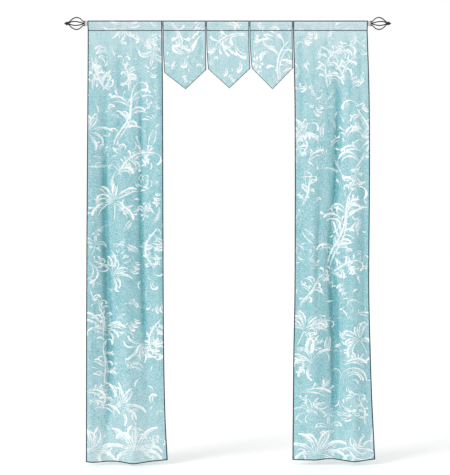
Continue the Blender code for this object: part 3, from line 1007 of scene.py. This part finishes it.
# Strokes that follow no motif: how many to a square metre, and the least and the most of their length,
# breadth and strength. The short ones are crisp, and the broad faint ones cloud the ground.
SHORT_STROKES = (115, (0.02, 0.06), (0.005, 0.010), (0.35, 0.85))
FAINT_STROKES = (60, (0.05, 0.13), (0.012, 0.028), (0.26, 0.40))


def scattered(width, drop, seed, density, reach, breadth, strength):
    """Strokes that follow no motif, over a whole cloth."""
    chance = random.Random(seed)
    strokes = []
    count = int(density * (width * drop))
    for number in range(count):
        down = (number + chance.random()) / count * drop + 0.02
        strokes.append(brush(chance.uniform(0, width), -down, chance.uniform(-180, 180),
                             chance.uniform(*reach), chance.uniform(-170, 170), chance.uniform(*breadth),
                             chance.uniform(*strength), chance.choice(("comma", "leaf"))))
    return strokes


def on_cloth(face, u, v, lift):
    """Points u across and v down the flat cloth, in metres, on the hanging cloth and lifted off it, with the
    tone there: the wash with its painted shade and painted light."""
    columns = np.interp(u / face["width"], face["across"], np.arange(len(face["across"])))
    drop = np.interp(u / face["width"], face["across"], face["drop"])
    in_pocket = np.interp(v, face["pocket_fall"], np.arange(len(face["pocket_fall"])))
    down = np.interp((v - POCKET_DEPTH) / drop, face["down"], np.arange(len(face["down"])))
    rows = np.where(v < POCKET_DEPTH, in_pocket, len(face["pocket_fall"]) - 1 + down)
    c = np.clip(columns.astype(int), 0, len(face["across"]) - 2)
    r = np.clip(rows.astype(int), 0, len(face["grid"]) - 2)
    a, b = columns - c, rows - r

    def between(grid):
        right, low = (a, b) if grid.ndim == 2 else (a[..., None], b[..., None])
        upper = (1 - right) * grid[r, c] + right * grid[r, c + 1]
        lower = (1 - right) * grid[r + 1, c] + right * grid[r + 1, c + 1]
        return (1 - low) * upper + low * lower
    return between(face["grid"]) + between(face["normals"]) * lift, between(face["tone"])


def print_pattern(name, face, strokes, thinned=1.0):
    """All the strokes of one cloth as one mesh, with how thick the ink lies and how light the ground is."""
    points, faces, ink, tones, margins, falls, marks = [], [], [], [], [], [], []
    first = 0
    across_count = len(ACROSS_STROKE)
    for rank, stroke in enumerate(sorted(strokes, key=lambda stroke: stroke["strength"])):
        count = max(6, int(stroke["length"] / STROKE_STEP))
        x, y, heading = trail(stroke, count)
        s = np.linspace(0, 1, count)
        travelled = s * stroke["length"]
        waver = sum(part * np.sin(2 * pi * travelled / wave + apart * rank) for part, wave, apart in WAVER)
        half = stroke["breadth"] / 2 * fullness(stroke["shape"], s) * (1 + waver)
        side = ACROSS_STROKE[None, :] * np.maximum(half, 0.0002)[:, None]
        u = x[:, None] + side * np.cos(heading)[:, None]
        v = -y[:, None] + side * np.sin(heading)[:, None]
        foot = POCKET_DEPTH + np.interp(u / face["width"], face["across"], face["drop"])
        inside = (u > 0) & (u < face["width"]) & (v > face["first"]) & (v < foot)
        u = np.clip(u, STROKE_MARGIN, face["width"] - STROKE_MARGIN)
        v = np.clip(v, face["first"] + 0.001, foot - STROKE_MARGIN)
        laid, tone = on_cloth(face, u, v, FILM_LIFT + FILM_STEP * rank / len(strokes))
        points.append(laid.reshape(-1, 3))
        tones.append(tone.ravel())
        margins.append(np.minimum(np.minimum(u, face["width"] - u), foot - v).ravel() * face["fineness"])
        falls.append(v.ravel())
        strength = thinned * stroke["strength"] * (0.6 + 0.4 * smooth(0, 0.6, s))
        ink.append((INK_ACROSS[None, :] * strength[:, None]).ravel())
        marks.append(np.stack([np.repeat(travelled, across_count) + rank,
                               np.tile(ACROSS_STROKE, count) + rank * STREAKS_APART], axis=1))
        for row in range(count - 1):
            for k in range(across_count - 1):
                if inside[row:row + 2, k:k + 2].any():
                    a = first + row * across_count + k
                    faces.append((a, a + 1, a + 1 + across_count, a + across_count))
        first += count * across_count
    mesh = bpy.data.meshes.new(name)
    mesh.from_pydata(np.concatenate(points).tolist(), [], faces)
    for key, values in (("ink", ink), ("tone", tones), ("margin", margins), ("fall", falls)):
        attribute(mesh, key, np.concatenate(values))
    attribute(mesh, "reverse", np.full(first, face["reverse"]))
    marks = np.concatenate(marks)
    brush_map = mesh.uv_layers.new(name="brush")
    loop_points = np.empty(len(mesh.loops), np.int32)
    mesh.loops.foreach_get("vertex_index", loop_points)
    brush_map.data.foreach_set("uv", marks[loop_points].astype(np.float32).ravel())
    mesh.shade_smooth()
    return put_in_scene(name, mesh)


INK_COLOUR = (253, 255, 255)
WET_INK = 1.30
DRY_HAIRS = 0.85
THINNEST_INK = 0.50


def ink_finish():
    """White ink over the same ground, dry-brushed: streaked along a stroke and thin at its border."""
    made, tree, shader = new_finish("white_print")
    link = tree.links.new
    colour, place = cotton_colour(tree)
    ink = new_node(tree, "Attribute", attribute_name="ink")
    along_brush = new_node(tree, "UVMap", uv_map="brush")
    squeeze = new_node(tree, "Mapping", {"Scale": (90.0, 1.9, 1.0)})
    hairs = new_node(tree, "TexNoise", {"Scale": 1.0, "Detail": 4.0})
    wet = new_node(tree, "Math", {1: WET_INK}, operation="MULTIPLY")
    dry = new_node(tree, "Math", {1: -DRY_HAIRS}, operation="MULTIPLY_ADD")
    bristles = new_node(tree, "MapRange", {"From Min": -0.16, "From Max": 0.16},
                        interpolation_type="SMOOTHSTEP")
    body = new_node(tree, "MapRange", {"To Min": THINNEST_INK})
    cover = new_node(tree, "Math", operation="MULTIPLY")
    whiten = new_node(tree, "Mix", {"B": seen_as(*INK_COLOUR)}, data_type="RGBA")
    link(along_brush.outputs["UV"], squeeze.inputs["Vector"])
    link(squeeze.outputs["Vector"], hairs.inputs["Vector"])
    link(ink.outputs["Fac"], wet.inputs[0])
    link(hairs.outputs["Fac"], dry.inputs[0])
    link(wet.outputs["Value"], dry.inputs[2])
    link(dry.outputs["Value"], bristles.inputs["Value"])
    link(ink.outputs["Fac"], body.inputs["Value"])
    link(bristles.outputs["Result"], cover.inputs[0])
    link(body.outputs["Result"], cover.inputs[1])
    link(cover.outputs["Value"], whiten.inputs["Factor"])
    link(colour, whiten.inputs["A"])
    # Painted shade along the hem edges and the stitched crease, and the dark line along the top, go over the
    # ink too
    link(shade_edges(tree, whiten.outputs["Result"]), shader.inputs["Base Color"])
    raise_weave(tree, shader, place, strength=0.15)
    set_inputs(shader, {"Roughness": 0.8, "Specular IOR Level": 0.2})
    return made


white_print = ink_finish()


# The stitches that close each pocket, in dark teal sewing thread, sewn by machine through both layers of the
# cloth. Each is a short raised thread that sinks into the cloth at both its ends.

STITCH = 0.0027
STITCH_PITCH = 0.0036
SEAM_START = 0.004
THREAD = 0.00042
THREAD_SIDES = 6
THREAD_COLOURS = ((0.0, (0.014, 0.042, 0.050, 1)), (1.0, (0.040, 0.092, 0.104, 1)))
# Along a stitch: how far along it a ring is, and its girth, both as shares
STITCH_RINGS = np.array([[0.0, 0.3], [0.12, 0.85], [0.5, 1.0], [0.88, 0.85], [1.0, 0.3]])


def thread_finish():
    """Dark teal sewing thread with a slight twist to its colour."""
    made, tree, shader = new_finish("teal_thread")
    place = new_node(tree, "TexCoord")
    plies = new_node(tree, "TexNoise", {"Scale": 1400.0})
    tint = new_ramp(tree, THREAD_COLOURS)
    tree.links.new(place.outputs["Object"], plies.inputs["Vector"])
    tree.links.new(plies.outputs["Fac"], tint.inputs["Fac"])
    tree.links.new(tint.outputs["Color"], shader.inputs["Base Color"])
    set_inputs(shader, {"Roughness": 0.7})
    return made


teal_thread = thread_finish()


def stitch_line(name, face, v):
    """A row of stitches across a cloth, at v down it."""
    points, faces = [], []
    sides = np.linspace(0, 2 * pi, THREAD_SIDES, endpoint=False)
    for start in np.arange(SEAM_START, face["width"] - SEAM_START - STITCH, STITCH_PITCH):
        first = len(points)
        u = start + STITCH_RINGS[:, 0] * STITCH
        lift = (STITCH_RINGS[:, 1] - 0.55) * THREAD * 1.6
        spine, _ = on_cloth(face, u, np.full(len(u), v), lift[:, None])
        for centre, (_, girth) in zip(spine, STITCH_RINGS):
            for side in sides:
                points.append(centre + girth * THREAD * np.array([0, cos(side), sin(side)]))
        for ring in range(len(STITCH_RINGS) - 1):
            for k in range(THREAD_SIDES):
                after = (k + 1) % THREAD_SIDES
                a, b = first + ring * THREAD_SIDES, first + (ring + 1) * THREAD_SIDES
                faces.append((a + k, a + after, b + after, b + k))
        faces.append(tuple(range(first + THREAD_SIDES - 1, first - 1, -1)))
        faces.append(tuple(range(len(points) - THREAD_SIDES, len(points))))
    mesh = bpy.data.meshes.new(name)
    mesh.from_pydata([tuple(point) for point in points], [], faces)
    mesh.shade_smooth()
    mesh.materials.append(teal_thread)
    row = put_in_scene(name, mesh)
    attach(row, "root")
    return row


def print_on(cloth, face, back, rows, seed, load=1.0):
    """Prints a cloth: the rows of motifs, and loose strokes between them. All but the faint ones also show
    through the reverse."""
    width, drop = face["width"], float(face["drop"].max()) + POCKET_DEPTH
    strokes = lay_strokes(rows, seed, load)
    strokes += scattered(width, drop, seed + 50, *SHORT_STROKES)
    faint = scattered(width, drop, seed, *FAINT_STROKES)
    printed = [print_pattern(cloth.name + "_print", face, strokes + faint),
               print_pattern(cloth.name + "_show_through", back, strokes, SHOW_THROUGH)]
    for piece in printed:
        piece.data.materials.append(white_print)
        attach(piece, "root")
    return printed


# The left curtain's pattern. A row gives the motif, how far it is from the cloth's left edge and down from
# its top, its size, all in millimetres, with a minus where it is mirrored, the degrees that it is turned
# clockwise, and how strong its ink is.
LEFT_PATTERN = (
    (fan, 180, 14, 115, 180, 0.75),
    (plume, 352, 60, -105, 222, 1.0),
    (bell, 325, 150, 125, 190, 1.0),
    (hook, 312, 245, -62, 165, 1.0),
    (crescents, 55, 135, 75, 165, 0.9),
    (plume, 20, 170, -190, 160, 0.9),
    (scroll, 75, 275, 70, 60, 0.9),
    (vine, 210, 345, 165, -8, 0.85),
    (vine, 130, 610, 330, 24, 0.85),
    (hook, 105, 440, 66, 10, 1.0),
    (scroll, 275, 400, 62, 95, 0.8),
    (hook, 345, 400, -50, 190, 0.75),
    (fan, -5, 545, 135, 40, 0.75),
    (crescents, 55, 600, -75, 120, 0.75),
    (plume, 150, 735, 230, 58, 0.95),
    (scroll, 165, 640, 75, -10, 0.9),
    (commas, 318, 490, 60, -35, 0.8),
    (pointed_leaf, 305, 620, 105, 18, 0.65),
    (fan, 95, 700, 80, 0, 0.4),
    (lily, 133, 870, 142, 0, 1.0),
    (single, 150, 745, 105, 38, 1.0),
    (rose, 280, 775, 70, 20, 0.9),
    (crescents, 338, 880, -66, 10, 0.95),
    (bell, 282, 935, 78, 8, 0.9),
    (hook, 325, 850, 60, 150, 0.8),
    (pointed_leaf, 180, 1020, 72, 38, 0.7),
    (bell, 40, 1090, 90, 5, 0.8),
    (rose, 165, 1105, 85, 0, 0.85),
    (fan, 118, 1228, 112, 62, 0.9),
    (scroll, 62, 1185, 62, 5, 0.95),
    (single, 12, 1165, 140, 130, 0.75),
    (plume, 345, 1000, -230, 192, 0.95),
    (pointed_leaf, 255, 1120, 75, -60, 0.8),
    (crescents, 235, 1215, 70, 20, 0.85),
    (swirl, 165, 1260, 60, 0, 0.4),
    (hook, 318, 1255, -82, 185, 0.9),
    (hook, 45, 1370, 76, -8, 0.95),
    (vine, 85, 1530, 170, -4, 0.9),
    (fan, 75, 1500, 120, 20, 0.85),
    (crescents, 345, 1400, 74, 85, 0.95),
    (scroll, 215, 1390, 62, 30, 0.6),
    (single, 112, 1490, 90, 52, 0.95),
    (rose, 185, 1400, 62, 70, 0.5),
    (swirl, 160, 1465, 62, 0, 0.5),
    (plume, 362, 1440, -200, 200, 1.0),
    (crescents, 222, 1490, 72, 35, 1.0),
    (fan, 265, 1560, 125, 186, 0.95),
    (vine, 92, 1770, 215, 2, 0.75),
    (swirl, 285, 1610, 75, 10, 0.35),
    (commas, 210, 1640, 50, 200, 0.7),
    (single, -5, 1800, 125, 62, 1.0),
    (plume, 10, 1870, 150, 48, 0.7),
    (single, 85, 1705, 70, 70, 1.0),
    (single, 45, 1875, 135, 66, 0.9),
    (fan, 150, 1870, 140, 42, 0.95),
    (hook, 322, 1860, 88, -30, 1.0),
    (swirl, 345, 1920, 66, 0, 0.55),
    (fan, 25, 2085, 150, 32, 1.0),
    (scroll, 80, 2085, 60, 80, 0.8),
    (fan, 225, 2085, 170, 0, 1.0),
    (bell, 225, 2050, 120, 10, 0.8),
    (plume, 245, 2090, 130, 52, 0.85),
    (hook, 175, 2040, -75, -20, 1.0),
    (rose, 120, 1975, 70, 30, 0.35),
    (curl, 240, 62, 60, 130, 1.0),
    (curl, 40, 175, 60, 150, 0.95),
    (commas, 300, 95, 62, 160, 1.0),
    (curl, 150, 110, 50, 60, 0.8),
    (spray, 25, 335, 115, 10, 0.85),
)
left_pieces = print_on(left_cloth, left_face, left_back, LEFT_PATTERN, seed=5)
left_pieces.append(stitch_line("left_pocket_stitches", left_face, POCKET_DEPTH))


# The right curtain, of the same cotton and made as the left one. Its main fold wanders across the middle of
# the width, and its outer edge flares a little towards the foot.

RIGHT_INNER_EDGE = ((0.0, 0.3160), (0.18, 0.3236), (0.60, 0.3232), (0.76, 0.3175), (1.0, 0.3138))
RIGHT_OUTER_EDGE = ((0.0, 0.6774), (0.15, 0.6868), (0.32, 0.6890), (0.60, 0.6856), (0.74, 0.6920),
                    (0.86, 0.7000), (1.0, 0.7142))
RIGHT_HEM = ((0.0, -2.1140), (0.28, -2.1135), (0.46, -2.1090), (0.74, -2.1200), (1.0, -2.1100))
RIGHT_FOLDS = (
    dict(down=(0.04, 0.12, 0.25, 0.36, 0.50, 0.62, 0.75, 0.90, 1.0),
         across=(0.62, 0.60, 0.585, 0.55, 0.48, 0.52, 0.54, 0.52, 0.50),
         half=(0.07, 0.08, 0.08, 0.08, 0.08, 0.09, 0.09, 0.08, 0.08),
         depth=(0.0, 0.011, 0.021, 0.019, 0.019, 0.028, 0.028, 0.014, 0.004)),
    dict(down=(0.03, 0.30, 0.60, 1.0), across=(0.24, 0.24, 0.25, 0.28),
         half=(0.14, 0.14, 0.14, 0.15), depth=(0.0, -0.009, -0.014, -0.012)),
    dict(down=(0.34, 0.46, 0.55, 0.68), across=(0.36, 0.33, 0.31, 0.30),
         half=(0.05, 0.05, 0.05, 0.05), depth=(0.0, 0.009, 0.009, 0.0)),
    dict(down=(0.05, 0.30, 0.60, 1.0), across=(0.80, 0.79, 0.78, 0.75),
         half=(0.11, 0.11, 0.12, 0.13), depth=(0.0, -0.010, -0.015, -0.019)),
    dict(down=(0.15, 0.40, 0.70, 0.92), across=(0.93, 0.93, 0.94, 0.96),
         half=(0.05, 0.05, 0.06, 0.06), depth=(0.0, 0.007, 0.008, 0.0)),
    dict(down=(0.50, 0.80, 1.0), across=(0.02, 0.01, 0.0),
         half=(0.08, 0.08, 0.09), depth=(0.0, 0.004, 0.010)),
)
RIGHT_WASH = ((0.0, 0.86), (0.06, 0.70), (0.20, 0.60), (0.40, 0.50), (0.60, 0.48), (0.78, 0.48), (0.90, 0.53),
              (1.0, 0.63))

right_cloth, right_face, right_back = hanging_cloth(
    "right_curtain", PANEL_WIDTH, panel_surface(RIGHT_INNER_EDGE, RIGHT_OUTER_EDGE, RIGHT_HEM, RIGHT_FOLDS),
    PANEL_HEM, panel_columns, panel_rows, RIGHT_WASH, RIGHT_FOLDS, seed=23)
hang(right_cloth, "panel_right")

RIGHT_PATTERN = (
    (crescents, 78, 98, 62, 15, 1.0),
    (swirl, 40, 20, 90, 30, 0.5),
    (single, 190, 30, 60, 165, 0.85),
    (plume, 165, 335, 265, 18, 0.9),
    (fan, 195, 230, 130, 28, 0.55),
    (bell, 330, 120, 95, 215, 0.6),
    (swirl, 62, 240, 66, 0, 0.55),
    (scroll, 18, 350, 68, 20, 0.95),
    (hook, 70, 400, -50, 150, 0.95),
    (rose, 150, 380, 90, 0, 0.55),
    (crescents, 112, 450, 66, 35, 1.0),
    (crescents, 320, 305, 62, -30, 0.95),
    (plume, 300, 720, -330, 8, 0.95),
    (bell, 300, 745, 110, 200, 0.9),
    (plume, 12, 700, 235, 10, 0.8),
    (fan, 22, 560, 115, 35, 0.85),
    (single, 62, 690, 110, 24, 0.75),
    (pointed_leaf, 135, 570, 62, 0, 0.7),
    (single, 178, 610, 75, 8, 0.8),
    (commas, 140, 650, 52, 0, 0.8),
    (vine, 40, 900, 150, 20, 0.95),
    (hook, 105, 880, 50, 20, 0.9),
    (tall_vine, 165, 1190, 400, 22, 1.0),
    (single, 330, 960, -85, 250, 0.9),
    (scroll, 268, 830, -66, 0, 1.0),
    (pointed_leaf, 110, 1085, 115, -42, 0.6),
    (bell, 200, 1110, 105, 0, 0.8),
    (rose, 55, 1120, 95, 0, 0.6),
    (commas, 85, 1180, 50, 100, 0.8),
    (rose, 318, 1155, 90, 0, 0.75),
    (hook, 262, 1140, 66, 0, 0.8),
    (plume, 140, 1270, 215, 52, 1.0),
    (crescents, 225, 1290, 66, 150, 0.95),
    (vine, 25, 1385, 195, 40, 0.95),
    (swirl, 285, 1405, 110, 0, 0.5),
    (rose, 250, 1400, 80, 0, 0.4),
    (single, 300, 1420, 90, 62, 0.7),
    (lily, 55, 1490, 135, 30, 0.95),
    (plume, 70, 1500, 130, 62, 0.9),
    (hook, 80, 1540, 60, 10, 0.9),
    (fan, 92, 1650, 135, -62, 0.95),
    (scroll, 30, 1715, 56, 10, 0.9),
    (pointed_leaf, 160, 1615, 98, 8, 0.85),
    (lily, 318, 1540, 120, -25, 0.9),
    (single, 228, 1560, 38, 200, 1.0),
    (single, 245, 1665, 125, 55, 1.0),
    (commas, 300, 1650, 60, 20, 0.9),
    (rose, 275, 1610, 64, 0, 0.5),
    (shell, 290, 1750, 120, 0, 0.95),
    (commas, 270, 1775, 46, 190, 0.9),
    (swirl, 190, 1720, 80, 40, 0.5),
    (single, 40, 1800, 150, 62, 0.75),
    (shell, 130, 1840, 75, 180, 0.85),
    (fan, 90, 1900, 100, -25, 0.5),
    (scroll, 30, 1840, 60, 60, 0.8),
    (rose, 262, 1855, 105, 0, 0.8),
    (crescents, 250, 1925, 75, 10, 0.8),
    (vine, 335, 1955, 140, -6, 0.9),
    (bell, 165, 1975, 100, 0, 0.75),
    (hook, 68, 2045, 80, 0, 0.95),
    (hook, 145, 2025, -66, 10, 0.9),
    (fan, 110, 2100, 165, 12, 0.95),
    (shell, 315, 2040, 120, 180, 0.9),
    (fan, 300, 2095, 110, -35, 0.7),
    (curl, 96, 40, 66, 120, 1.0),
    (curl, 62, 75, -60, 200, 0.95),
    (commas, 215, 100, 62, 140, 0.9),
    (curl, 305, 60, 60, 150, 0.9),
    (hook, 330, 262, 66, 160, 1.0),
    (spray, 235, 300, 150, 20, 0.85),
    (curl, 60, 300, 66, 170, 1.0),
    (curl, 345, 400, -60, 200, 0.95),
)
right_pieces = print_on(right_cloth, right_face, right_back, RIGHT_PATTERN, seed=6)
right_pieces.append(stitch_line("right_pocket_stitches", right_face, POCKET_DEPTH))


# The valance: three short flags of the same cotton, cut to a point, each hemmed all round and hung from its
# own pocket on the rod between the two curtains. They hang nearly flat, and each swings a little its own way.

PENNANT_WIDTH = 0.208
SHEET_GAP = 0.002
PENNANT_HEM = 0.012
PENNANT_STEP = 0.0042
PENNANT_DROP = 0.24
PENNANT_FINENESS = 1.4
PENNANT_LOAD = 1.3
PENNANTS = (
    dict(node="pennant_left", swing=(0.0070, 0.0024, 0.0063), z=(-0.2375, -0.2235, -0.3180),
         belly=-0.0045, point=0.0035, wash=((0.0, 0.80), (0.5, 0.74), (1.0, 0.62))),
    dict(node="pennant_middle", swing=(0.0098, 0.0054, 0.0082), z=(-0.2215, -0.2185, -0.3145),
         belly=-0.0025, point=-0.0050, wash=((0.0, 0.80), (0.5, 0.73), (1.0, 0.73))),
    dict(node="pennant_right", swing=(0.0112, 0.0032, 0.0069), z=(-0.2185, -0.2150, -0.3180),
         belly=-0.0050, point=0.0020, wash=((0.0, 0.80), (0.5, 0.71), (1.0, 0.75))),
)


def pennant_surface(row, left):
    swing_left, swing_right, swing_point = row["swing"]
    z_left, z_right, z_point = row["z"]

    def surface(across, down):
        to_middle = 1 - abs(2 * across - 1)
        swing = swing_left + (swing_right - swing_left) * across
        swing = swing + (swing_point - (swing_left + swing_right) / 2) * to_middle
        hem_z = z_left + (z_right - z_left) * across
        hem_z = hem_z + (z_point - (z_left + z_right) / 2) * to_middle
        belly = 4 * across * (1 - across) * np.sin(pi * down)
        x = left + PENNANT_WIDTH * across + swing * down**2
        y = row["belly"] * belly + row["point"] * down**2
        return np.stack([x, y, STITCH_Z + (hem_z - STITCH_Z) * down], axis=-1)
    return surface


pennant_columns = columns_across(PENNANT_WIDTH, PENNANT_HEM, PENNANT_STEP, [PENNANT_WIDTH / 2])
pennant_rows = rows_down(PENNANT_DROP, PENNANT_HEM, PENNANT_STEP)
pennant_faces = []
for number, row in enumerate(PENNANTS):
    pennant_left_x = (number - 1) * (PENNANT_WIDTH + SHEET_GAP) - PENNANT_WIDTH / 2
    cloth, face, back = hanging_cloth(
        row["node"].replace("pennant", "flag"), PENNANT_WIDTH, pennant_surface(row, pennant_left_x),
        PENNANT_HEM, pennant_columns, pennant_rows, row["wash"], folds=None, seed=40 + number,
        fineness=PENNANT_FINENESS)
    hang(cloth, row["node"])
    pennant_faces.append((cloth, face, back))

FLAG_PATTERNS = (
    ((spray, 42, 10, 150, 150, 0.95), (commas, 198, 62, 92, -104, 1.0), (commas, 192, 22, 66, -112, 0.9),
     (curl, 108, 158, 78, -100, 1.0), (curl, 114, 158, -66, 82, 1.0), (hook, 104, 184, 76, 168, 1.0),
     (curl, 62, 196, -50, -120, 0.9), (swirl, 165, 235, 55, 30, 0.7), (crescents, 100, 274, 40, 160, 0.8)),
    ((spray, 198, 66, -165, -98, 0.95), (commas, 92, 114, 95, 172, 1.0), (curl, 50, 118, 78, 190, 1.0),
     (curl, 138, 116, -95, 176, 1.0), (curl, 160, 196, 70, 150, 0.95), (single, 96, 22, 80, 62, 0.8),
     (hook, 30, 196, 46, 30, 0.8), (curl, 92, 226, 56, 150, 0.9), (crescents, 112, 272, 42, 150, 0.7)),
    ((spray, 138, 292, 205, 4, 0.95), (commas, 118, 96, 88, -52, 1.0), (curl, 96, 46, 60, 40, 0.9),
     (daisy, 34, 205, 66, 0, 1.0), (hook, 168, 222, 74, 40, 1.0), (curl, 92, 152, -66, -82, 0.95),
     (curl, 156, 250, 56, 40, 0.9), (crescents, 34, 100, 46, 10, 0.8), (single, 30, 14, 60, 100, 0.8)),
)
for (cloth, face, back), rows in zip(pennant_faces, FLAG_PATTERNS):
    pieces = print_on(cloth, face, back, rows, seed=9, load=PENNANT_LOAD)
    pieces.append(stitch_line(cloth.name + "_pocket_stitches", face, POCKET_DEPTH))
